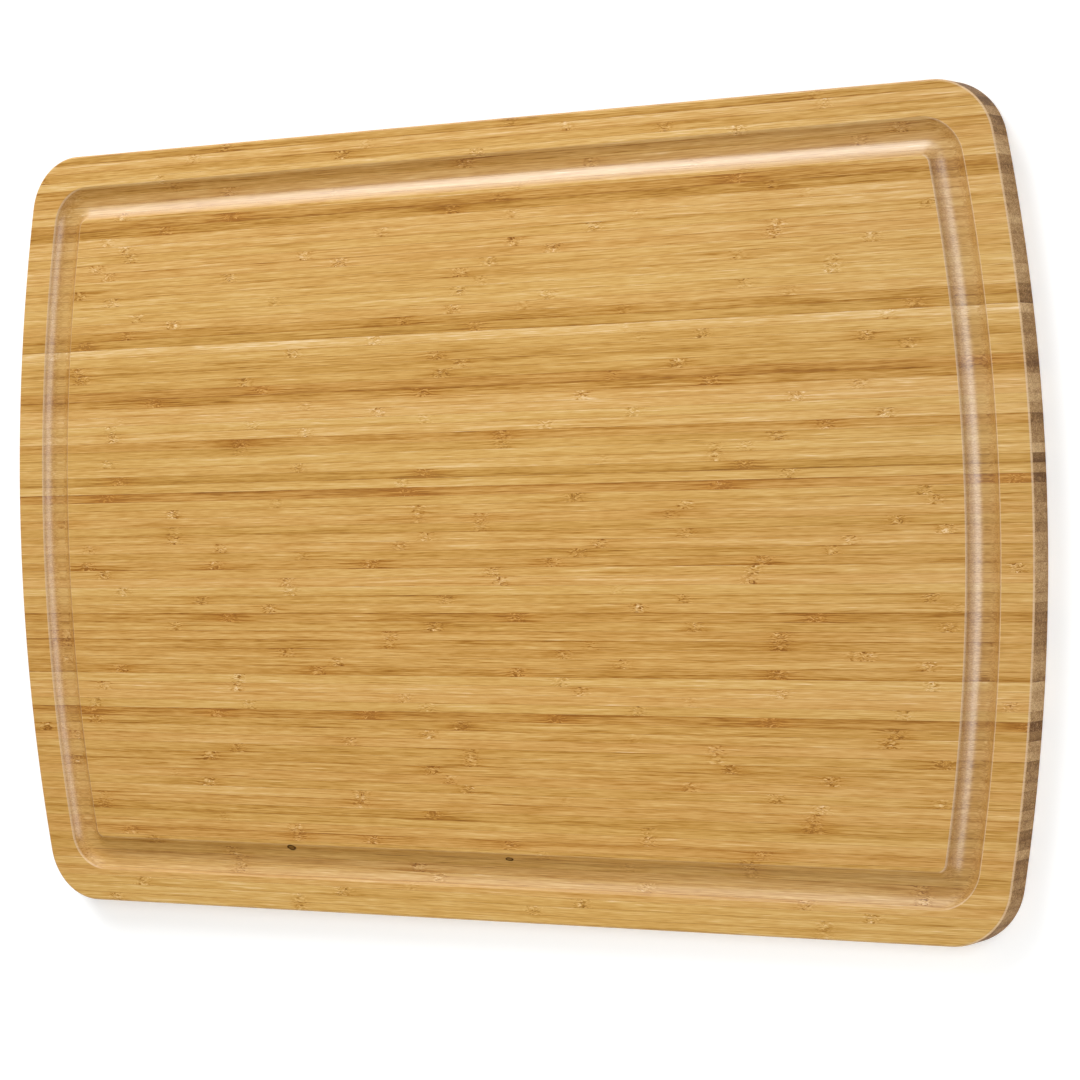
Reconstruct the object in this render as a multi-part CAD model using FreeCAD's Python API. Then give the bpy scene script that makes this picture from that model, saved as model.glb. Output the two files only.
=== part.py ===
import FreeCAD, Part
import math
import os

# Extra large carving board of vertical grain bamboo, with bowed ends and a juice groove.
# One layer of full length strips stands on edge and is glued face to face.
# Millimetres.  +X runs along the strips, +Y across them, +Z up.
# The origin is the centre of the flat underside.

# ---- driving dimensions ----
LENGTH = 762.0          # tip to tip of the two bowed ends
WIDTH = 508.0           # across the two straight long sides
THICKNESS = 20.0
BOW = 26.5              # how far the middle of each end stands past its corners
CORNER_R = 40.0         # plan radius of the four corners
ARRIS_R = 1.5           # rounding of the outer edges, top and bottom

RIM = 21.3              # flat rim between the outline and the juice groove
GROOVE_W = 22.4         # groove width at the top face
GROOVE_D = 6.0          # groove depth
GROOVE_TURN = 16.8      # plan radius of the groove's centreline at the four corners
GROOVE_EASE = 1.0       # rounding of the groove's two upper edges

STRIPS = 88             # bamboo strips side by side
GLUE = 0.10             # adhesive film between two strips

# ---- modelling allowances ----
CUTTER_RISE = 2.0       # how far the groove cutters stand above the top face
SLICE_MARGIN = 10.0     # how far a slicing box reaches past the board in X and Z
LIP_MARGIN = 0.5        # slack when picking the edges inside the rim
PLANE_TOL = 1e-4        # slack when picking the edges that lie at one height

# ---- derived ----
HALF_LENGTH = LENGTH / 2.0
HALF_WIDTH = WIDTH / 2.0
END_R = (HALF_WIDTH ** 2 + BOW ** 2) / (2.0 * BOW)   # plan radius of the bowed ends
END_CX = HALF_LENGTH - END_R                         # centre of the +X end's arc, on the X axis
COVE_R = (GROOVE_W ** 2 / 4.0 + GROOVE_D ** 2) / (2.0 * GROOVE_D)
COVE_Z = THICKNESS - GROOVE_D + COVE_R               # height of the cove's centre
GROOVE_INSET = RIM + GROOVE_W / 2.0                  # groove centreline, in from the outline
STRIP_W = (WIDTH - (STRIPS - 1) * GLUE) / STRIPS
PITCH = STRIP_W + GLUE

QUARTER = math.pi / 2.0
# Each half of a plan loop as (sign, turn): the +X end with the +Y side, then the
# same shapes turned half way round.
HALVES = ((1, 0.0), (-1, math.pi))

Vector = FreeCAD.Vector
ORIGIN = Vector(0, 0, 0)
UP = Vector(0, 0, 1)


def corner_of(inset, radius):
    """Centre x, y of the +X +Y corner arc of a loop set in from the outline,
    and the angle about the end's centre at which the end arc meets it."""
    y = HALF_WIDTH - inset - radius
    reach = math.sqrt((END_R - inset - radius) ** 2 - y ** 2)
    x = END_CX + reach
    return x, y, math.atan2(y, x - END_CX)


def corner_arcs(x, y, meet, sign, turn):
    """The two corner arcs of one half as (centre x, centre y, start, end), anticlockwise."""
    return ((sign * x, sign * y, meet + turn, QUARTER + turn),
            (-sign * x, sign * y, QUARTER + turn, math.pi - meet + turn))


def plan_arc(centre_x, centre_y, radius, start, end):
    points = [Vector(centre_x + radius * math.cos(angle), centre_y + radius * math.sin(angle), 0)
              for angle in (start, (start + end) / 2.0, end)]
    return Part.Arc(*points).toShape()


def outline_wire():
    x, y, meet = corner_of(0.0, CORNER_R)
    edges = []
    for sign, turn in HALVES:
        first, second = corner_arcs(x, y, meet, sign, turn)
        side_y = sign * HALF_WIDTH
        edges += [
            plan_arc(sign * END_CX, 0, END_R, turn - meet, turn + meet),
            plan_arc(*first[:2], CORNER_R, *first[2:]),
            Part.makeLine(Vector(sign * x, side_y, 0), Vector(-sign * x, side_y, 0)),
            plan_arc(*second[:2], CORNER_R, *second[2:]),
        ]
    return Part.Wire(edges)


def cove_face(centre_x):
    """Groove section in the XZ plane, closed a little above the top face."""
    top = THICKNESS + CUTTER_RISE
    half_width = math.sqrt(COVE_R ** 2 - (COVE_Z - top) ** 2)
    low = Vector(centre_x, 0, COVE_Z - COVE_R)
    left = Vector(centre_x - half_width, 0, top)
    right = Vector(centre_x + half_width, 0, top)
    return Part.Face(Part.Wire([Part.Arc(left, low, right).toShape(),
                                Part.makeLine(right, left)]))


def revolve_at(face, centre_x, centre_y, start, end):
    """Sweeps a section, drawn at its radius along X, about the vertical axis at the centre."""
    section = face.copy()
    section.rotate(ORIGIN, UP, math.degrees(start))
    centre = Vector(centre_x, centre_y, 0)
    section.translate(centre)
    return section.revolve(centre, UP, math.degrees(end - start))


def groove_cutters():
    """Two straight sides, two bowed ends and four corners."""
    x, y, meet = corner_of(GROOVE_INSET, GROOVE_TURN)
    cutters = []
    side = cove_face(0.0)
    side.rotate(ORIGIN, UP, 90)
    for sign, _ in HALVES:
        section = side.copy()
        section.translate(Vector(-x, sign * (HALF_WIDTH - GROOVE_INSET), 0))
        cutters.append(section.extrude(Vector(2 * x, 0, 0)))
    end = cove_face(END_R - GROOVE_INSET)
    for sign, turn in HALVES:
        cutters.append(revolve_at(end, sign * END_CX, 0, turn - meet, turn + meet))
    corner = cove_face(GROOVE_TURN)
    for sign, turn in HALVES:
        for corner_arc in corner_arcs(x, y, meet, sign, turn):
            cutters.append(revolve_at(corner, *corner_arc))
    return cutters


def on_plane(edge, z):
    box = edge.BoundBox
    return abs(box.ZMin - z) < PLANE_TOL and abs(box.ZMax - z) < PLANE_TOL


def is_lip(edge):
    """True for the top face edges that lie inside the rim."""
    box = edge.BoundBox
    limit_x = HALF_LENGTH - RIM + LIP_MARGIN
    limit_y = HALF_WIDTH - RIM + LIP_MARGIN
    return (on_plane(edge, THICKNESS) and box.XMax < limit_x and box.XMin > -limit_x
            and box.YMax < limit_y and box.YMin > -limit_y)


def ease_lips(slab):
    lips = [edge for edge in slab.Edges if is_lip(edge)]
    # The fillet can fail where the cutters meet; the lips then stay sharp.
    try:
        eased = slab.makeFillet(GROOVE_EASE, lips)
        if eased.isValid() and len(eased.Solids) == 1:
            return eased
    except Exception:
        pass
    return slab


def build_slab():
    """The whole board in one piece, before it is sliced into strips and glue."""
    slab = Part.Face(outline_wire()).extrude(Vector(0, 0, THICKNESS))
    arrises = [edge for edge in slab.Edges if on_plane(edge, 0.0) or on_plane(edge, THICKNESS)]
    slab = slab.makeFillet(ARRIS_R, arrises)
    slab = slab.cut(groove_cutters())
    return ease_lips(slab).Solids[0]


def slice_solids(slab, y, width):
    """Solids of the slab between y and y + width."""
    box = Part.makeBox(LENGTH + 2 * SLICE_MARGIN, width, THICKNESS + 2 * SLICE_MARGIN,
                       Vector(-HALF_LENGTH - SLICE_MARGIN, y, -SLICE_MARGIN))
    return slab.common(box).Solids


def strip_name(k):
    """k counts from the outer edge, 1 to STRIPS / 2."""
    outer = (k - 1) * PITCH
    inner = k * PITCH - GLUE
    if inner <= RIM:
        kind = "rim"
    elif outer < RIM + GROOVE_W:
        kind = "groove"
    else:
        kind = "field"
    return "%s_strip_pair_%02d" % (kind, k)


def strip_pair(slab, k):
    """The two strips that mirror each other across the X axis, +Y first."""
    y = HALF_WIDTH - (k - 1) * PITCH - STRIP_W
    return slice_solids(slab, y, STRIP_W) + slice_solids(slab, -y - STRIP_W, STRIP_W)


def glue_films(slab):
    films = []
    for i in range(1, STRIPS):
        films += slice_solids(slab, -HALF_WIDTH + i * PITCH - GLUE, GLUE)
    return films


def export(name, solids):
    Part.makeCompound(solids).exportStep("parts/%s.step" % name)


os.makedirs("parts", exist_ok=True)
board = build_slab()
for k in range(1, STRIPS // 2 + 1):
    export(strip_name(k), strip_pair(board, k))
export("glue_lines", glue_films(board))
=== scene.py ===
"""A bamboo board with bowed ends, laminated from 88 strips, with a juice-groove-like cove round its
top face. Its length lies along x (right is +x), its width along y (back is +y). The underside is
on z = 0 and the origin is at the middle. Meshes are worked out in mm and built in metres."""
import bpy
import math
import random
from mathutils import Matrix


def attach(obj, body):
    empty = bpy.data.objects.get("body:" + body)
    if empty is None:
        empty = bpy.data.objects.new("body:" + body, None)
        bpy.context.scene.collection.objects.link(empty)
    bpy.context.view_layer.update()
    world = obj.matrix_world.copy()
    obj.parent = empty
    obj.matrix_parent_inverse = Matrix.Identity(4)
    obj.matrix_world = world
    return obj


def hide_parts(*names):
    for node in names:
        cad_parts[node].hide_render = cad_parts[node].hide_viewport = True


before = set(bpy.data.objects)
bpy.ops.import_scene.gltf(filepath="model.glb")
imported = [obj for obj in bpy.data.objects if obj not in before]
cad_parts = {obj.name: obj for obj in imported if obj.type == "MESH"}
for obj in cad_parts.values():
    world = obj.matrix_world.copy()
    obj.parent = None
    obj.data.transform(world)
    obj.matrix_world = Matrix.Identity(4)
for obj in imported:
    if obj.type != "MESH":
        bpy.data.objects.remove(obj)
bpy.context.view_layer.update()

from types import SimpleNamespace
from mathutils import Matrix, Vector

# ---------------------------------------------------------------- dimensions, mm
LENGTH, WIDTH, THICK = 762.0, 508.0, 20.0
BOW = 26.5                  # how far each end bulges at its middle
CORNER_R, ARRIS = 40.0, 1.5  # plan corner radius, rounded edge radius
RIM = 21.3                  # from the outline to the groove
GROOVE_W, GROOVE_D = 22.4, 6.0
EASE = 1.0                  # radius of the groove's lips
TURN = 16.8                 # corner radius of the groove's centreline
STRIPS, GLUE = 88, 0.10     # strip count, thickness of a glue film

HX, HY = LENGTH / 2, WIDTH / 2
END_R = (HY * HY + BOW * BOW) / (2 * BOW)
END_X = HX - END_R          # centre of the right end's arc
STRIP_W = (WIDTH - (STRIPS - 1) * GLUE) / STRIPS
PITCH = STRIP_W + GLUE
COVE_R = (GROOVE_W ** 2 / 4 + GROOVE_D ** 2) / (2 * GROOVE_D)
COVE_Z = THICK - GROOVE_D + COVE_R
PATH = RIM + GROOVE_W / 2   # inset of the groove's centreline
# lip centre's distance from the centreline, and the angle where lip meets cove
LIP_D = math.sqrt((COVE_R + EASE) ** 2 - (COVE_Z - THICK + EASE) ** 2)
LIP_A = math.asin(LIP_D / (COVE_R + EASE))


def corner_arc(inset, radius):
    """Centre and start angle of the corner tangent to the end arc and side at this inset,
    with its radius carried out to inset 0."""
    y = HY - inset - radius
    x = END_X + math.sqrt((END_R - inset - radius) ** 2 - y ** 2)
    return x, y, math.atan2(y, x - END_X), inset + radius


# "rim" rings follow the outline, "groove" rings the groove's centreline
CORNERS = {"rim": corner_arc(0.0, CORNER_R), "groove": corner_arc(PATH, TURN)}

ARRIS_STEPS, LIP_STEPS, COVE_STEPS = 6, 4, 28
END_STEPS, CORNER_STEPS, SIDE_STEPS = 120, 26, 64

# ---------------------------------------------------------------- the strips, back edge first
# tone of each strip, 0 dark to 9 pale, ten to a row
TONES = [
    4, 7, 5, 7, 4.5, 5, 6.5, 6, 3, 3.2,
    6.5, 6.5, 6, 6.2, 6, 6, 5.6, 6, 6.4, 6.5,
    6, 3.8, 3.6, 8.3, 6, 4.6, 5, 5.2, 3.1, 3.7,
    6.5, 7, 6.8, 6.7, 4.2, 4.9, 6.4, 6.4, 3.4, 6.3,
    3, 5.6, 5.5, 5, 4.5, 5.6, 6, 4.5, 4.3, 5.6,
    6.5, 6.4, 5, 5.5, 3.4, 5, 5, 4, 5, 5.2,
    4, 6.6, 6.4, 6, 5.8, 3, 4.2, 5, 5.5, 4.6,
    4.6, 5, 5.1, 5, 6, 5, 4, 5, 5.2, 4.5,
    4.6, 4.4, 4.6, 6, 6.3, 6, 6.5, 5.6]
# knuckles of the culm on each strip: (x in mm, strength), where 1 is a plain one
KNUCKLES = {
    0: [(-193, .7), (30, .5), (245, .5)], 1: [(-220, .8), (-80, .5), (72, .7), (252, .7)],
    2: [(-352, 1), (-100, .9), (142, 1)], 3: [(5, .9), (193, 1), (-250, .5)],
    4: [(-7, 1.3), (300, 1), (-240, .5)], 5: [(-196, 1.2), (85, .7), (272, .8)],
    6: [(-110, .3), (160, .3)], 7: [(-283, 1), (35, .4), (200, .3)],
    8: [(-190, 1.3), (190, 1.1), (20, .4)], 9: [(-247, 1), (-15, .8), (215, .4)],
    10: [(-296, .7), (30, .7), (238, .4)], 11: [(-280, 1), (-70, .6), (120, .4)],
    12: [(-277, 1), (90, 1.1), (318, .7)], 13: [(-305, 1.1), (-132, .9), (30, .9), (218, 1.1)],
    14: [(-296, 1), (-104, 1.3), (60, 1.1), (216, 1.2)], 15: [(-193, 1.1), (12, 1), (281, 1)],
    16: [(-322, 1), (-10, 1.1), (191, .6)], 17: [(-294, 1.2), (5, .7), (255, .6)],
    18: [(-157, .6), (-12, 1), (255, 1)], 19: [(-272, .9), (55, 1), (195, .7)],
    20: [(-242, 1.2), (-17, 1), (37, .5), (225, .5)], 21: [(-282, .8), (-55, .6), (110, .4)],
    22: [(-318, 1.2), (0, 1), (308, 1.1)], 23: [(-78, .9), (110, .3), (290, .6)],
    24: [(-143, 1.1), (120, .3), (165, 1.1)], 25: [(-325, 1.3), (-30, 1.2), (276, 1.1)],
    26: [(-322, 1.4), (-12, 1.1), (303, 1)], 27: [(-183, 1.1), (-27, 1), (147, 1.3)],
    28: [(-170, 1), (100, .4), (350, .9)], 29: [(-260, 1.1), (-42, 1), (170, 1)],
    30: [(-135, .5), (78, 1), (271, .9)], 31: [(-77, 1), (228, 1), (-290, .3)],
    32: [(-298, .8), (-178, .9), (115, 1), (-40, .6)],
    33: [(-296, 1.1), (-135, 1), (50, .8), (288, 1.1)],
    34: [(248, 1), (-188, 1.2), (18, 1.1)], 35: [(-188, .5), (18, .7), (215, 1)],
    36: [(-301, .8), (172, .7), (193, .7)], 37: [(-141, .8), (90, .3), (172, .8)],
    38: [(-292, 1.4), (-41, 1.3), (192, 1)], 39: [(-60, .9), (222, .9), (-340, .4)],
    40: [(-303, 1.4), (-55, 1.5), (175, 1.4), (370, 1.2)], 41: [(-160, .5), (70, 1.2), (312, .9)],
    42: [(-246, 1), (-48, .8), (150, .7), (319, .9)],
    43: [(-343, .8), (-48, .6), (0, .9), (140, .5)], 44: [(0, .8), (293, 1), (-246, .5)],
    45: [(-246, 1), (-42, 1), (150, .8), (325, 1)],
    46: [(-207, .9), (-320, .8), (-62, .9), (88, .9), (262, .8)],
    47: [(-140, .5), (72, .9), (250, .8)],
    48: [(-322, 1.1), (-212, 1.2), (-85, 1.4), (53, 1), (203, 1.1)],
    49: [(-307, 1.1), (8, 1.2), (196, 1), (370, 1.1)], 50: [(-153, 1.1), (14, 1.1), (193, 1)],
    51: [(-291, 1.1), (-150, 1), (100, .4)], 52: [(-225, 1), (-28, 1), (147, .8), (314, .9)],
    53: [(-168, 1.1), (115, 1.2), (330, .4)], 54: [(-202, 1.4), (25, 1.2), (238, 1.3)],
    55: [(-247, .7), (-37, 1.1), (154, 1), (325, 1)], 56: [(-345, .9), (-72, 1), (213, 1.1)],
    57: [(-345, .8), (-72, .7), (213, .9), (80, .4)],
    58: [(-155, 1), (60, .9), (271, 1), (262, .6)],
    59: [(-114, .9), (103, .8), (311, 1), (-345, .9)],
    60: [(-295, 1.1), (-130, 1.1), (25, 1.2), (211, 1.1)], 61: [(57, .9), (-195, 1), (313, .9)],
    62: [(-310, 1), (-197, 1), (72, .8), (213, .8)], 63: [(-62, 1), (363, .9), (150, .4)],
    64: [(-318, 1), (-187, 1), (-45, 1), (113, 1), (295, .9)],
    65: [(-323, 1.3), (-213, 1.3), (-90, 1.4), (53, 1.2), (205, 1.3), (373, 1)],
    66: [(-318, 1.2), (-18, 1.1), (290, 1)], 67: [(-362, 1), (-43, 1.1), (285, 1), (110, .3)],
    68: [(-338, .9), (-105, .8), (167, .9)], 69: [(-197, 1), (-12, .9), (320, 1.2), (167, .7)],
    70: [(-220, 1.1), (-12, .9), (177, 1)], 71: [(-340, .9), (-42, 1.1), (245, 1)],
    72: [(-28, .8), (149, .8), (-250, .3)], 73: [(-222, 1.1), (-15, 1.1), (208, .9), (318, .8)],
    74: [(-98, 1.3), (238, .9), (60, .3)], 75: [(-98, .9), (233, 1), (-313, .6)],
    76: [(-313, 1.2), (-42, 1.2), (233, 1.3)], 77: [(118, .7), (-210, .4)],
    78: [(-151, 1), (118, 1)], 79: [(-290, 1.2), (-148, 1), (-90, 1.1), (17, 1), (197, 1)],
    80: [(-270, .8), (40, .5), (187, 1)], 81: [(-208, .8), (100, .4), (187, .7)],
    82: [(-201, .6), (-58, 1), (300, .8)], 83: [(-201, 1), (-42, .8), (113, .9), (303, 1.1)],
    84: [(-60, .4), (226, .9)], 85: [(-281, 1.1), (-114, 1.3), (68, 1.2), (271, 1.1)],
    86: [(32, 1), (239, .9), (-150, .7)], 87: [(-304, 1.1), (-150, .8), (239, .7)]}

# per strip: noise seed, which long edge was the culm's skin (0 front, 1 back), how much it darkens
rng = random.Random(20762)
SEEDS = []
for strip_tone in TONES:
    darkness = max(0.0, (5.6 - strip_tone) / 2.6)
    SEEDS.append((rng.random() * 10.0, rng.choice((0.0, 1.0)),
                  0.25 + 0.45 * rng.random() + 0.5 * darkness))

# strips and glue films from the back: (low y, high y, strip index or None for a film)
SLABS = []
for strip_no in range(STRIPS):
    back_y = HY - strip_no * PITCH
    SLABS.append((back_y - STRIP_W, back_y, strip_no))
    if strip_no < STRIPS - 1:
        SLABS.append((back_y - PITCH, back_y - STRIP_W, None))


# ---------------------------------------------------------------- the panel as parallel rings
# A profile point is (family, inset, height, normal outwards, normal upwards).
def arris_profile(base, up):
    """Rounded edge from the wall to a face; up is 1 for the top edge and -1 for the bottom."""
    points = []
    for i in range(ARRIS_STEPS + 1):
        angle = math.pi / 2 * i / ARRIS_STEPS
        c, s = math.cos(angle), math.sin(angle)
        points.append(("rim", ARRIS - ARRIS * c, base + up * ARRIS * s, c, up * s))
    return points


def lip_profile(side):
    """Groove lip from its crest down to the cove; side is -1 for the outer lip, 1 for the inner."""
    points = []
    for i in range(LIP_STEPS + 1):
        angle = LIP_A * i / LIP_STEPS
        c, s = math.cos(angle), math.sin(angle)
        points.append(("groove", PATH + side * LIP_D - side * EASE * s,
                       THICK - EASE + EASE * c, side * s, c))
    return points


def cove_profile():
    points = []
    for i in range(1, COVE_STEPS):
        offset = COVE_R * math.sin(-LIP_A + 2 * LIP_A * i / COVE_STEPS)
        drop = math.sqrt(COVE_R ** 2 - offset * offset)
        points.append(("groove", PATH + offset, COVE_Z - drop, offset / COVE_R, drop / COVE_R))
    return points


BACK_SIDE = 2       # index of the back straight among a ring's sections


def ring(family, inset):
    """Eight counter-clockwise sections of (x, y, outward x, outward y, arc length on outline)."""
    corner_x, corner_y, start, radius = CORNERS[family]
    radius -= inset
    outline_x, _, outline_start, _ = CORNERS["rim"]
    end_len = 2 * outline_start * END_R
    corner_len = (math.pi / 2 - outline_start) * CORNER_R
    side_len = 2 * outline_x

    def end(sx):
        points = []
        for i in range(END_STEPS + 1):
            angle = start * (2 * i / END_STEPS - 1)
            c, s = math.cos(angle), math.sin(angle)
            points.append((sx * (END_X + (END_R - inset) * c), sx * (END_R - inset) * s,
                           sx * c, sx * s, end_len * i / END_STEPS))
        return points

    def corner(sx, sy):
        points = []
        for i in range(CORNER_STEPS + 1):
            angle = start + (math.pi / 2 - start) * i / CORNER_STEPS
            c, s = math.cos(angle), math.sin(angle)
            points.append((sx * (corner_x + radius * c), sy * (corner_y + radius * s),
                           sx * c, sy * s, corner_len * i / CORNER_STEPS))
        if sx * sy < 0:
            points = [p[:4] + (corner_len - p[4],) for p in points[::-1]]
        return points

    def side(sy):
        points = []
        for i in range(SIDE_STEPS + 1):
            x = corner_x * (1 - 2 * i / SIDE_STEPS)
            points.append((sy * x, sy * (HY - inset), 0, sy, side_len * i / SIDE_STEPS))
        return points

    sections, run = [], 0.0
    for half in (1, -1):
        for points, length in ((end(half), end_len), (corner(half, half), corner_len),
                               (side(half), side_len), (corner(-half, half), corner_len)):
            sections.append([p[:4] + (p[4] + run,) for p in points])
            run += length
    return sections


# A face corner is (x, y, z, normal x, normal y, normal z, arc length); a face is (tag, corners).
def band(prof_a, prof_b, tag, flip=False):
    """Quads between the rings of two profile points."""
    faces = []
    for a, b in zip(ring(*prof_a[:2]), ring(*prof_b[:2])):
        for i in range(len(a) - 1):
            quad = [(a[i], prof_a), (a[i + 1], prof_a), (b[i + 1], prof_b), (b[i], prof_b)]
            corners = [(q[0], q[1], p[2], q[2] * p[3], q[3] * p[3], p[4], q[4]) for q, p in quad]
            faces.append((tag, corners[::-1] if flip else corners))
    return faces


def flat(prof, tag, up):
    """Plane face inside a profile's last ring: (tag, loop, x places where strips are divided)."""
    sections = ring(*prof[:2])
    loop = []

    def differ(a, b):
        return max(abs(a[j] - b[j]) for j in range(3)) > 1e-7

    for points in sections:
        for p in points:
            corner = (p[0], p[1], prof[2], 0.0, 0.0, up, 0.0)
            if not loop or differ(corner, loop[-1]):
                loop.append(corner)
    if not differ(loop[0], loop[-1]):
        loop.pop()
    return tag, loop if up > 0 else loop[::-1], sorted(p[0] for p in sections[BACK_SIDE])


def panel_faces():
    top = (arris_profile(THICK - ARRIS, 1) + lip_profile(-1) + cove_profile()
           + lip_profile(1)[::-1])
    bottom = arris_profile(ARRIS, -1)
    faces = band(bottom[0], top[0], "wall")
    for a, b in zip(top, top[1:]):
        faces += band(a, b, "top")
    for a, b in zip(bottom, bottom[1:]):
        faces += band(a, b, "bottom", flip=True)
    return faces, [flat(top[-1], "top", 1.0), flat(bottom[-1], "bottom", -1.0)]


# ---------------------------------------------------------------- sawing the panel into slabs
def clip(corners, axis, limit, keep_below):
    """The part of a face on one side of a plane across the axis; [] if none is left."""
    sign = 1 if keep_below else -1
    kept = []
    for a, b in zip(corners, corners[1:] + corners[:1]):
        past_a, past_b = sign * (a[axis] - limit), sign * (b[axis] - limit)
        if past_a <= 1e-9:
            kept.append(a)
        if (past_a < -1e-9 and past_b > 1e-9) or (past_a > 1e-9 and past_b < -1e-9):
            # both faces on an edge cut it in the same direction, so they get the same point
            low, high = (a, b) if a[:3] < b[:3] else (b, a)
            t = (limit - low[axis]) / (high[axis] - low[axis])
            cut = [low[j] + t * (high[j] - low[j]) for j in range(7)]
            cut[axis] = limit
            kept.append(tuple(cut))
    return kept if len(kept) >= 3 else []


def slab_at(y):
    depth = (HY - y) / PITCH
    i = min(max(int(depth), 0), STRIPS - 1)
    in_film = (depth - i) * PITCH > STRIP_W and i < STRIPS - 1
    return 2 * i + (1 if in_film else 0)


def slice_panel():
    """Faces of each slab, its sawn sides still open."""
    faces, flats = panel_faces()
    parts = [[] for _ in SLABS]
    for tag, corners in faces:
        low, high = min(v[1] for v in corners), max(v[1] for v in corners)
        if high - low < 1e-7:
            parts[slab_at((low + high) / 2)].append((tag, corners))
            continue
        first, last = slab_at(high - 1e-7), slab_at(low + 1e-7)
        for j in range(first, last + 1):
            cut = corners
            if j > first:
                cut = clip(cut, 1, SLABS[j][1], True)
            if j < last:
                cut = clip(cut, 1, SLABS[j][0], False)
            if cut:
                parts[j].append((tag, cut))
    for tag, loop, columns in flats:
        for j, (low, high, strip) in enumerate(SLABS):
            rest = clip(clip(loop, 1, high, True), 1, low, False)
            # films stay whole; strips are divided so that each face has its nearest knuckle
            for x in columns if strip is not None else ():
                left = clip(rest, 0, x, True)
                if left:
                    parts[j].append((tag, left))
                rest = clip(rest, 0, x, False)
            if rest:
                parts[j].append((tag, rest))
    return parts


def open_loops(polys):
    """Loops of vertex indices that close the unpaired edges."""
    edges = {}
    for _, ids, _ in polys:
        edges.update(dict.fromkeys(zip(ids, ids[1:] + ids[:1])))
    onward = {}
    for a, b in edges:
        if (b, a) not in edges:
            onward.setdefault(b, []).append(a)
    loops = []
    while onward:
        start = current = next(iter(onward))
        loop = [start]
        while current in onward:
            following = onward[current].pop()
            if not onward[current]:
                del onward[current]
            if following == start:
                break
            loop.append(following)
            current = following
        if len(loop) >= 3:
            loops.append(loop)
    return loops


def close_slab(faces, low, high):
    """Merges corners and caps the sawn sides: vertices and polygons (tag, indices, corners)."""
    index, verts, polys = {}, [], []
    for tag, corners in faces:
        ids, kept = [], []
        for v in corners:
            key = tuple(round(c * 2e4) for c in v[:3])
            if key not in index:
                index[key] = len(verts)
                verts.append(v[:3])
            if not ids or ids[-1] != index[key]:
                ids.append(index[key])
                kept.append(v)
        if len(ids) > 1 and ids[0] == ids[-1]:
            ids.pop()
            kept.pop()
        if len(set(ids)) == len(ids) and len(ids) >= 3:
            polys.append((tag, ids, kept))
    for loop in open_loops(polys):
        y = sum(verts[i][1] for i in loop) / len(loop)
        normal_y = 1.0 if abs(y - high) < abs(y - low) else -1.0
        polys.append(("cap", loop, [verts[i] + (0.0, normal_y, 0.0, 0.0) for i in loop]))
    return verts, polys


# ---------------------------------------------------------------- UV charts
CHART_LEN, CHART_PAD = 130.0, 0.9       # mm along the board, mm round each chart
CAP_SHRINK_X, CAP_SHRINK_Z = 5.2, 4.0   # hidden sawn sides get less of the map


def pack(rects):
    """Lays chart boxes in rows, tallest first, in the first square that holds them all."""
    order = sorted(rects, key=lambda q: (-(rects[q][3] - rects[q][1]), str(q)))

    def place_in(size):
        x = y = row = 0.0
        place = {}
        for key in order:
            u0, v0, u1, v1 = rects[key]
            w, h = u1 - u0 + 2 * CHART_PAD, v1 - v0 + 2 * CHART_PAD
            if x + w > size:
                x, y, row = 0.0, y + row, 0.0
            if w > size or y + h > size:
                return None
            place[key] = (x + CHART_PAD - u0, y + CHART_PAD - v0)
            x, row = x + w, max(row, h)
        return place

    size = 100.0
    while (place := place_in(size)) is None:
        size *= 1.03
    return place, size


def chart_uvs(slabs):
    """UVs of every polygon, keyed by (slab index, polygon index)."""
    where, rects = {}, {}
    for slab, _, polys in slabs:
        long_wall = any(abs(v[4]) > 0.999 for tag, _, vs in polys if tag == "wall" for v in vs)
        for k, (tag, _, corners) in enumerate(polys):
            mid_x = sum(v[0] for v in corners) / len(corners)
            if tag in ("top", "bottom"):
                key = (slab, tag, int((mid_x + HX) // CHART_LEN))
                flat_uv = [(v[0], v[1]) for v in corners]
            elif tag == "wall":
                if long_wall:
                    mid_run = sum(v[6] for v in corners) / len(corners)
                    key = (slab, tag, int(mid_run // CHART_LEN))
                else:
                    key = (slab, tag, 0 if mid_x > 0 else 1)
                flat_uv = [(v[6], v[2]) for v in corners]
            else:
                key = (slab, "cap", k)
                flat_uv = [(v[0] / CAP_SHRINK_X, v[2] / CAP_SHRINK_Z) for v in corners]
            where[(slab, k)] = (key, flat_uv)
            box = rects.setdefault(key, [1e9, 1e9, -1e9, -1e9])
            for u, v in flat_uv:
                box[:] = min(box[0], u), min(box[1], v), max(box[2], u), max(box[3], v)
    place, size = pack(rects)
    return {poly: [((u + place[key][0]) / size, (v + place[key][1]) / size) for u, v in flat_uv]
            for poly, (key, flat_uv) in where.items()}


# ---------------------------------------------------------------- objects
def strip_data(strip, corners):
    """Values the bamboo material reads on one face; the knuckle is the nearest one."""
    mid_x = sum(v[0] for v in corners) / len(corners)
    knuckle_x, knuckle_s = min(KNUCKLES[strip], key=lambda q: abs(q[0] - mid_x))
    seed, skin, skin_amp = SEEDS[strip]
    return {"tone": TONES[strip], "seed": seed, "skin": skin, "skin_amp": skin_amp,
            "knuckle_x": knuckle_x, "knuckle_s": knuckle_s}


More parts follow.
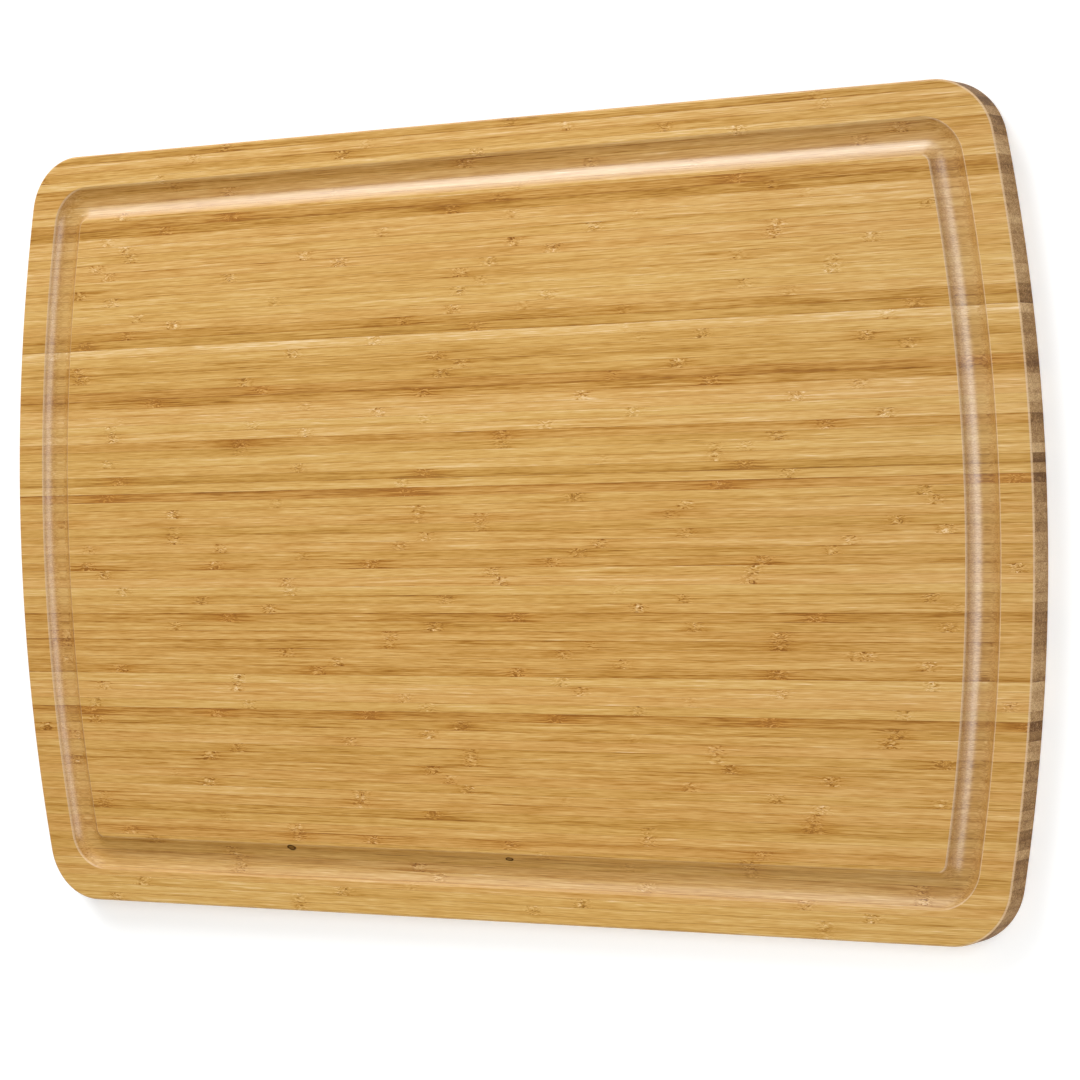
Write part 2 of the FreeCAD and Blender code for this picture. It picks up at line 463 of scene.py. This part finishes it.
def make_piece(name, slabs, material, is_strip=True):
    """One object from (slab index, vertices, polygons), one island per slab."""
    charts = chart_uvs(slabs)
    verts, faces, uvs, normals, rows = [], [], [], [], []
    for slab, slab_verts, polys in slabs:
        first = len(verts)
        verts += [(x / 1000, y / 1000, z / 1000) for x, y, z in slab_verts]
        for k, (_, ids, corners) in enumerate(polys):
            faces.append([first + i for i in ids])
            uvs += charts[(slab, k)]
            normals += [tuple(Vector(v[3:6]).normalized()) for v in corners]
            if is_strip:
                rows.append(strip_data(SLABS[slab][2], corners))
    mesh = bpy.data.meshes.new(name)
    mesh.from_pydata(verts, [], faces)
    mesh.update()
    layer = mesh.uv_layers.new(name="OFBake")
    for i, uv in enumerate(uvs):
        layer.data[i].uv = uv
    if is_strip:
        for key in rows[0]:
            attribute = mesh.attributes.new(key, "FLOAT", "FACE")
            attribute.data.foreach_set("value", [float(row[key]) for row in rows])
    mesh.polygons.foreach_set("use_smooth", [True] * len(mesh.polygons))
    mesh.normals_split_custom_set(normals)
    mesh.materials.append(material)
    return add_object(name, mesh)


def add_object(name, data):
    ob = bpy.data.objects.new(name, data)
    bpy.context.scene.collection.objects.link(ob)
    return ob


# ---------------------------------------------------------------- shader helpers
def srgb(*rgb):
    def linear(c):
        c /= 255.0
        return c / 12.92 if c <= 0.04045 else ((c + 0.055) / 1.055) ** 2.4
    return tuple(linear(c) for c in rgb) + (1.0,)


WOOD_BALANCE = (0.87, 0.855, 1.02)      # trims every face-grain colour


def wood(*rgb):
    return tuple(k * c for k, c in zip(WOOD_BALANCE, srgb(*rgb))) + (1.0,)


class Value:
    """A shader output that takes arithmetic; each operation makes one Math node."""

    def __init__(self, graph, socket):
        self.graph, self.socket = graph, socket

    def math(self, operation, *others):
        return self.graph.math(operation, self, *others)

    def __add__(self, other):
        return self.math("ADD", other)

    def __sub__(self, other):
        return self.math("SUBTRACT", other)

    def __rsub__(self, other):
        return self.graph.math("SUBTRACT", other, self)

    def __mul__(self, other):
        return self.math("MULTIPLY", other)

    def __truediv__(self, other):
        return self.math("DIVIDE", other)

    def __pow__(self, other):
        return self.math("POWER", other)

    def __abs__(self):
        return self.math("ABSOLUTE")

    def exp(self):
        return self.math("EXPONENT")

    def fract(self):
        return self.math("FRACT")

    def at_most(self, limit):
        return self.math("MINIMUM", limit)

    def at_least(self, limit):
        return self.math("MAXIMUM", limit)

    def madd(self, gain, base):
        """base + gain * self"""
        return self.math("MULTIPLY_ADD", gain, base)

    def step(self, zero_at, one_at):
        """Smooth step from 0 to 1; it falls with the value if zero_at is the larger."""
        return self.graph.value(
            "MapRange", {"Value": self, "From Min": zero_at, "From Max": one_at},
            interpolation_type="SMOOTHSTEP")


class Graph:
    """Node tree of a material or world."""

    def __init__(self, owner):
        owner.use_nodes = True
        self.owner, self.tree = owner, owner.node_tree
        self.tree.nodes.clear()

    def put(self, socket, value):
        if isinstance(value, Value):
            self.tree.links.new(value.socket, socket)
        else:
            socket.default_value = value

    def node(self, kind, inputs=None, **settings):
        node = self.tree.nodes.new("ShaderNode" + kind)
        for key, setting in settings.items():
            setattr(node, key, setting)
        for key, value in (inputs or {}).items():
            self.put(node.inputs[key], value)
        return node

    def value(self, kind, inputs=None, output=0, **settings):
        return Value(self, self.node(kind, inputs, **settings).outputs[output])

    def math(self, operation, *operands):
        return self.value("Math", dict(enumerate(operands)), operation=operation)

    def combine(self, parts):
        return self.value("CombineXYZ", dict(enumerate(parts)))

    def split(self, vector):
        return [Value(self, s) for s in self.node("SeparateXYZ", {0: vector}).outputs]

    def noise(self, point, size, detail, rough=0.5, output="Fac"):
        """Noise stretched to a grain size in mm along x, y and z."""
        vector = self.combine(p / s for p, s in zip(point, size))
        return self.value("TexNoise", {"Vector": vector, "Scale": 1.0, "Detail": detail,
                                       "Roughness": rough}, output)

    def mix(self, factor, a, b, blend="MIX"):
        return self.value("Mix", {0: factor, 6: a, 7: b}, 2, data_type="RGBA", blend_type=blend)

    def ramp(self, value, stops):
        node = self.node("ValToRGB", {0: value})
        elements = node.color_ramp.elements
        while len(elements) < len(stops):
            elements.new(0.5)
        for element, (position, color) in zip(elements, stops):
            element.position, element.color = position, color
        return Value(self, node.outputs[0])

    def finish(self, shader, kind="OutputMaterial"):
        self.node(kind, {0: shader})
        return self.owner


# ---------------------------------------------------------------- bamboo
# (ramp position, colour) from dark to pale
FACE_RAMP = [(0.0, wood(122, 72, 10)), (0.16, wood(160, 106, 28)), (0.36, wood(191, 141, 58)),
             (0.54, wood(209, 161, 80)), (0.70, wood(220, 177, 96)), (0.86, wood(231, 193, 118)),
             (1.0, wood(246, 217, 156))]
END_RAMP = [(0.0, srgb(98, 62, 30)), (0.30, srgb(148, 108, 62)), (0.55, srgb(182, 142, 92)),
            (0.75, srgb(206, 168, 116)), (1.0, srgb(226, 190, 140))]
# beetle pin marks in the front groove: x, y, half length in x, half width in y, mm
PIN_MARKS = ((-157.0, -212.6, 3.3, 1.9), (13.0, -214.2, 3.0, 1.2))
RIGHT_HAZE_TINT = (-0.045, -0.025, 0.055)    # painted haze: change of red, green and blue at the right end


def strip_fields(g):
    """Position in mm, normal, face data and place across the strip."""
    f = SimpleNamespace()
    f.x, f.y, f.z = [c * 1000.0 for c in g.split(g.value("TexCoord", output="Object"))]
    normal_x, f.ny, f.nz = g.split(g.value("NewGeometry", output="Normal"))
    f.anx = abs(normal_x)
    for key in ("tone", "seed", "skin", "skin_amp", "knuckle_x", "knuckle_s"):
        setattr(f, key, g.value("Attribute", output="Fac", attribute_name=key))
    # 0 to 1 from the strip's back edge; the nudge keeps the board's back edge above 0
    f.across = ((HY + 0.0001 - f.y) / PITCH).fract()
    # the same with the culm's skin side at 1
    f.to_skin = f.across * (1.0 - f.skin * 2.0) + f.skin
    # each strip reads its own stretch of the noises
    f.own = [f.seed.madd(shift, c) for shift, c in ((613.0, f.x), (71.0, f.y), (29.0, f.z))]
    return f


def bend_fibres(g, f):
    """Knuckle of the culm: an eye the fibres run round, with curled fibres in and beside it."""
    own_x, own_y, _ = f.own
    dx = f.x - f.knuckle_x
    wobble = g.split(g.noise(f.own, (3.4, 1.9, 1.9), detail=1.0, output="Color"))
    f.wobble_x, wobble_y = wobble[0] - 0.5, wobble[1] - 0.5
    ragged_dx = f.wobble_x.madd(6.0, dx)

    def bell(half_length, power):
        return (abs(ragged_dx / half_length) ** power * -1.0).exp() * f.knuckle_s

    f.core, f.halo = bell(6.0, power=2.2), bell(15.0, power=1.6)
    # the eye sits up to 1.6 mm off the strip's middle and pushes the fibres aside
    chance = ((f.seed + f.knuckle_x * 0.0173) * 7.31).fract()
    eye_y = (chance - 0.5) * 3.2
    dy = (f.across - 0.5) * PITCH - eye_y
    distance2 = abs(dx / 2.9) ** 2.0 + abs(dy) ** 2.0
    push = dy * (f.knuckle_s.at_most(1.2) * 1.10) / (distance2 + 0.85)

    f.drift = g.noise(f.own, (170.0, 9.0, 12.0), detail=0.5)
    bend = g.noise(f.own, (11.0, 3.0, 3.0), detail=0.0)
    y = own_y - push
    y = (f.drift - 0.5).madd(1.0, y)
    y = (bend - 0.5).madd(f.halo.madd(1.5, 0.03), y)
    f.fibre_y = wobble_y.madd(f.core * 3.6, y)
    f.fibre_x = f.wobble_x.madd(f.core * 5.0, own_x)
    f.curled_x = f.fibre_x + dx * f.core * 1.6      # compressed along the strip in the knuckle


def fibre_noises(g, f):
    """Fibre patterns; constants added to a coordinate only part one pattern from another."""
    own_x, own_y, z = f.own
    x, curled, y = f.fibre_x, f.curled_x, f.fibre_y
    f.fine = g.noise((curled, y, z), (28.0, 0.62, 0.75), detail=2.0, rough=0.62)
    f.hair = g.noise((curled, y + 31.0, z), (8.5, 0.48, 0.6), detail=0.6, rough=0.6)
    f.mid = g.noise((x, y, z), (85.0, 1.30, 1.9), detail=2.0, rough=0.55)
    f.broad = g.noise((own_x, y, z), (170.0, 3.0, 5.0), detail=1.0)
    f.cloud = g.noise((own_x, own_y, z), (52.0, 12.0, 12.0), detail=2.0)
    f.dark_line = g.noise((x, y + 57.0, z), (38.0, 0.46, 0.6), detail=1.2).step(0.61, 0.70)
    f.pale_line = g.noise((x, y + 91.0, z), (34.0, 0.50, 0.7), detail=1.2).step(0.62, 0.71)
    f.knot = g.noise((x, y, z), (2.7, 0.50, 0.8), detail=1.6, rough=0.6)
    f.fleck = g.noise((x + 17.0, y + 23.0, z), (3.8, 0.62, 0.9), detail=1.0)


def fibre_shade(f):
    """Place on the face ramp, 0 dark to 1 pale."""
    t = (f.tone - 5.3).madd(0.074, 0.56)
    for pattern, gain in ((f.fine, 0.80), (f.hair, 0.44), (f.mid, 0.52), (f.broad, 0.30),
                          (f.cloud, 0.22)):
        t = (pattern - 0.5).madd(gain, t)
    # skin side: a wide darkening and a narrow one right at the edge
    edge = f.to_skin.step(0.40, 1.02) * f.skin_amp
    brink = f.to_skin.step(0.88, 0.99) * (f.skin_amp * f.drift.step(0.35, 0.6))
    # in the knuckle: curled fibres, pale and dark flecks
    curl = (f.knot - 0.5) * f.core
    pale_fleck = f.fleck.step(0.55, 0.66) * f.core.at_most(1.0)
    dark_fleck = f.fleck.step(0.46, 0.35) * f.core.at_most(1.0)
    for pattern, gain in ((f.dark_line, -0.20), (f.pale_line, 0.17), (edge, -0.13),
                          (brink, -0.16), (curl, 1.65), (pale_fleck, 0.20), (dark_fleck, -0.42)):
        t = pattern.madd(gain, t)
    # beside it streaks darken, most in dark strips
    f.depth = (6.4 - f.tone).madd(0.058, 0.03).at_least(0.0)
    streaks = f.fine.madd(0.45, f.mid * 0.55).step(0.58, 0.42)
    t = t - f.halo * f.depth * streaks.madd(1.35, 0.10)
    # the groove's floor at the right end, which is cut across the fibres, is drawn a little darker
    right_floor_darkening = f.z.step(19.3, 17.5) * f.x.step(312.0, 336.0)
    return right_floor_darkening.madd(-0.06, t)


def face_colour(g, f):
    colour = g.ramp(f.shade, FACE_RAMP)
    # each strip leans a little to red or to straw
    hue = (f.seed * 3.77).fract() - 0.5
    colour = g.mix(hue.at_least(0.0) * 0.30, colour, wood(214, 152, 82))
    colour = g.mix((hue * -1.0).at_least(0.0) * 0.34, colour, wood(214, 178, 88))
    # fibres beside a dark strip's knuckle redden
    rust = (f.halo * f.depth * 1.3).at_most(0.34)
    colour = g.mix(rust, colour, wood(204, 138, 50))
    # the cutter has burnished the cove: masked by height, slope and distance from the outline
    dip = f.z.step(19.6, 18.6) * f.z.step(10.0, 12.0) * f.nz.step(0.35, 0.50)
    f.dip = dip * (abs(f.x).step(372.0, 366.0) * abs(f.y).step(246.0, 240.0))
    # the cove is drawn a little darker
    return g.mix(f.dip * 0.05, colour, (0.0, 0.0, 0.0, 1.0))


def end_grain(g, f, colour):
    """Fibre bundles cut across, greyer and browner, with open pores where the cut slants."""
    f.end = abs(f.nz).step(0.52, 0.22) * f.anx.step(0.10, 0.42)
    f.slope = f.anx.step(0.10, 0.60)
    dots = g.noise(f.own, (6.0, 0.42, 0.55), detail=1.5, rough=0.6)
    f.dot = dots.step(0.53, 0.66)
    # strip to strip variation, the fibres' shade, the dots, and painted shade on the corners,
    # darker where the wall turns to the back or front
    shade = ((f.seed * 5.71).fract() - 0.5).madd(0.34, (f.shade - 0.5).madd(1.25, 0.50))
    dark = f.dot.madd(-0.12, abs(f.ny).step(0.20, 0.80) * -0.36)
    colour = g.mix(f.end * 0.9, colour, g.ramp(shade + dark, END_RAMP))
    pores = f.slope * (1.0 - f.end)
    colour = g.mix(pores * 0.16, colour, srgb(168, 108, 48))
    specks = pores * dots.step(0.50, 0.68)
    return g.mix(specks * 0.42, colour, srgb(136, 84, 34))


# real wear, a painted highlight and a painted haze, and the pin marks
def wear_and_marks(g, f, colour):
    # the rounded edges are handled and a little paler, most at the ends; this paleness is partly
    # real wear and partly a painted highlight along the edges and groove lips where they catch the
    # light
    wear_and_highlight = f.z.step(18.6, 19.5) * f.nz.step(0.995, 0.93) * f.nz.step(0.25, 0.55)
    wear_and_highlight = wear_and_highlight * f.anx.step(0.04, 0.3).madd(0.75, 0.25)
    colour = g.mix(wear_and_highlight * 0.40, colour, wood(250, 226, 176))
    # painted haze: the right end is a little greyer, standing in for a hazy sheen and a little less
    # light there
    far = f.x.step(60.0, 385.0)
    haze_tint = g.combine(far.madd(change, 1.0) for change in RIGHT_HAZE_TINT)
    colour = g.mix(1.0, colour, haze_tint, "MULTIPLY")
    spots = []
    for x, y, half_x, half_y in PIN_MARKS:
        radius2 = abs((f.x - x) / half_x) ** 2.0 + abs((f.y - y) / half_y) ** 2.0
        radius2 = f.wobble_x.madd(0.9, radius2)
        spot = radius2.step(1.35, 0.75) * f.z.step(5.0, 9.0)
        # the middle of a mark is less opaque than its rim
        opacity = 0.92 - radius2.step(0.55, 0.1) * 0.35
        colour = g.mix(spot * opacity, colour, srgb(46, 20, 4))
        spots.append(spot)
    f.pin = spots[0].at_least(spots[1])
    return colour


def bamboo_bump(g, f):
    height = f.fine * 0.5 + f.mid * 0.3
    for relief, gain in ((f.hair, 0.25), (f.dark_line, -0.30),
                         (f.dot * (f.slope + f.end), -0.35),
                         (f.knot * f.core.at_most(1.0), 0.7)):
        height = relief.madd(gain, height)
    seam = abs(f.across - 0.5).step(0.485, 0.5) * -0.5
    return g.value("Bump", {"Strength": 0.5, "Distance": 0.00004, "Height": height + seam})


def bamboo():
    g = Graph(bpy.data.materials.new("bamboo_vertical_grain"))
    f = strip_fields(g)
    bend_fibres(g, f)
    fibre_noises(g, f)
    f.shade = fibre_shade(f)
    colour = wear_and_marks(g, f, end_grain(g, f, face_colour(g, f)))

    # rougher on end grain and in knuckles
    rough = (f.fine - 0.5).madd(0.22, 0.42)
    rough = f.end.madd(0.14, rough)
    rough = f.core.at_most(1.0).madd(0.05, rough)
    # the oil's coat grows to the right and, on back-facing slopes, to the back; it is thin on
    # front-facing slopes and missing on upright walls and pin marks
    faces = abs(f.nz).step(0.15, 0.50)
    coat = (f.y * f.ny.step(0.05, 0.30)).madd(0.0020, f.x.madd(0.0004, 0.68))
    coat = f.ny.step(-0.05, -0.30).madd(-0.38, coat)
    coat = f.dip.madd(coat - 0.07, 0.07)
    clean = 1.0 - f.pin * 0.85
    bump = bamboo_bump(g, f)
    return g.finish(g.value("BsdfPrincipled", {
        "Base Color": colour,
        "Roughness": rough.at_most(0.85),
        "IOR": 1.5,
        "Coat Weight": (coat * faces).at_most(1.0) * clean,
        "Specular IOR Level": f.dip.madd(0.01, faces.madd(0.03, 0.15)) * clean,
        "Coat Roughness": f.ny.at_least(0.0).madd(0.36, 0.29),
        "Coat IOR": f.dip.madd(0.24, 1.60),
        "Normal": bump,
        "Coat Normal": bump}))


def cured_glue():
    g = Graph(bpy.data.materials.new("cured_glue"))
    noise = g.value("TexNoise", {"Vector": g.value("TexCoord", output="Object"),
                                 "Scale": 260.0, "Detail": 2.0}, "Fac")
    colour = g.ramp(noise, [(0.3, srgb(120, 74, 30)), (0.7, srgb(168, 116, 58))])
    return g.finish(g.value("BsdfPrincipled", {"Base Color": colour,
                                               "Roughness": noise.madd(0.25, 0.35)}))


# ---------------------------------------------------------------- build the board
def hand_over(ob, node):
    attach(ob, "root")
    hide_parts(node)


def pair_kind(pair):
    """Where the strips of a pair lie, counted from 1 at the two long edges."""
    if pair * PITCH - GLUE <= RIM:
        return "rim"
    return "groove" if (pair - 1) * PITCH < RIM + GROOVE_W else "field"


bamboo_material, glue_material = bamboo(), cured_glue()
closed = [(j,) + close_slab(faces, *SLABS[j][:2]) for j, faces in enumerate(slice_panel())]
for pair in range(1, STRIPS // 2 + 1):
    kind = pair_kind(pair)
    back, front = closed[2 * (pair - 1)], closed[2 * (STRIPS - pair)]
    hand_over(make_piece(f"bamboo_{kind}_strips_{pair:02d}", [back, front], bamboo_material),
              f"{kind}_strip_pair_{pair:02d}")
films = [slab for slab in closed if SLABS[slab[0]][2] is None]
hand_over(make_piece("glue_films", films, glue_material, is_strip=False), "glue_lines")

# ---------------------------------------------------------------- floor, light, camera; metres
WHITE = (1, 1, 1, 1)


def floor_material():
    """Pale floor that the camera sees lifted a little, fading to pure white with distance."""
    g = Graph(bpy.data.materials.new("pale_floor"))
    place = g.value("TexCoord", output="Object")
    distance = g.value("VectorMath", {0: place}, "Value", operation="LENGTH")
    camera_ray = g.value("LightPath", output="Is Camera Ray")
    far = distance.step(0.45, 1.1) * camera_ray
    diffuse = g.value("BsdfDiffuse", {"Color": (0.90, 0.90, 0.90, 1)})
    white = g.value("Emission", {"Color": WHITE, "Strength": 1.0})
    lift = g.value("Emission", {"Color": WHITE, "Strength": camera_ray * 0.22})
    near = g.value("AddShader", {0: diffuse, 1: lift})
    return g.finish(g.value("MixShader", {0: far, 1: near, 2: white}))


def floor(half=20, gap=0.0002):
    material = floor_material()
    mesh = bpy.data.meshes.new("floor")
    mesh.from_pydata([(-half, -half, 0), (half, -half, 0), (half, half, 0), (-half, half, 0)],
                     [], [(0, 1, 2, 3)])
    mesh.materials.append(material)
    ob = add_object("floor", mesh)
    ob.location.z = -gap


def area(name, at, size, power, color, aim=(0, 0, 0), glossy=True, diffuse=True):
    light = bpy.data.lights.new(name, "AREA")
    light.shape = "RECTANGLE"
    light.size, light.size_y = size
    light.energy, light.color = power, color
    ob = add_object(name, light)
    ob.location = at
    ob.rotation_mode = "QUATERNION"
    ob.rotation_quaternion = (Vector(aim) - Vector(at)).to_track_quat("-Z", "Y")
    ob.visible_camera = False
    ob.visible_glossy, ob.visible_diffuse = glossy, diffuse


def studio_world():
    g = Graph(bpy.data.worlds.new("studio"))
    camera_ray = g.value("LightPath", output="Is Camera Ray")
    ambient = g.value("Background", {"Color": (1.0, 0.99, 0.975, 1), "Strength": 0.20})
    backdrop = g.value("Background", {"Color": WHITE, "Strength": 1.0})
    mixed = g.value("MixShader", {0: camera_ray, 1: ambient, 2: backdrop})
    return g.finish(mixed, "OutputWorld")


def camera():
    data = bpy.data.cameras.new("camera")
    data.sensor_width = 36.0
    data.lens = 115.5033333
    data.clip_start, data.clip_end = 0.05, 100.0
    ob = add_object("camera", data)
    # the camera's own x, y and z axes
    axes = Matrix(((0.84662, -0.02613, -0.53156),
                   (0.01171, 0.99947, -0.03047),
                   (0.53207, 0.01957, 0.84648))).transposed().to_4x4()
    ob.matrix_world = Matrix.Translation((1.2015, 0.0307, 1.8607)) @ axes
    return ob


floor()
# a broad soft box above, a tall soft window behind the board's left shoulder, diffuse light from
# the left, right and front, and a sheen card on the right
area("overhead", at=(1.06, 0.02, 2.0), size=(1.5, 1.05), power=20.3, color=(0.985, 1.0, 0.99))
area("window", at=(-0.95, 1.85, 1.12), size=(1.3, 1.9), power=54.0, color=(0.978, 1.0, 1.03),
     aim=(0, 0, 0.1))
area("right", at=(1.9, 0.1, 1.05), size=(1.4, 1.2), power=6.2, color=(0.96, 0.99, 1.05),
     glossy=False)
area("right sheen", at=(1.95, 0.05, 1.7), size=(1.3, 1.3), power=9.5, color=(0.95, 1.0, 1.02),
     diffuse=False)
area("sky", at=(-1.5, 0.2, 1.9), size=(2.0, 2.0), power=7.4, color=(1.0, 0.998, 0.985),
     glossy=False)
area("fill", at=(0.1, -1.9, 0.9), size=(2.6, 1.4), power=15.5, color=(1.0, 0.995, 0.98),
     glossy=False)

scene = bpy.context.scene
scene.world = studio_world()
scene.camera = camera()
scene.view_settings.view_transform = "Standard"
scene.view_settings.look = "None"
scene.view_settings.exposure = 0.0
scene.view_settings.gamma = 1.0

bpy.context.view_layer.update()
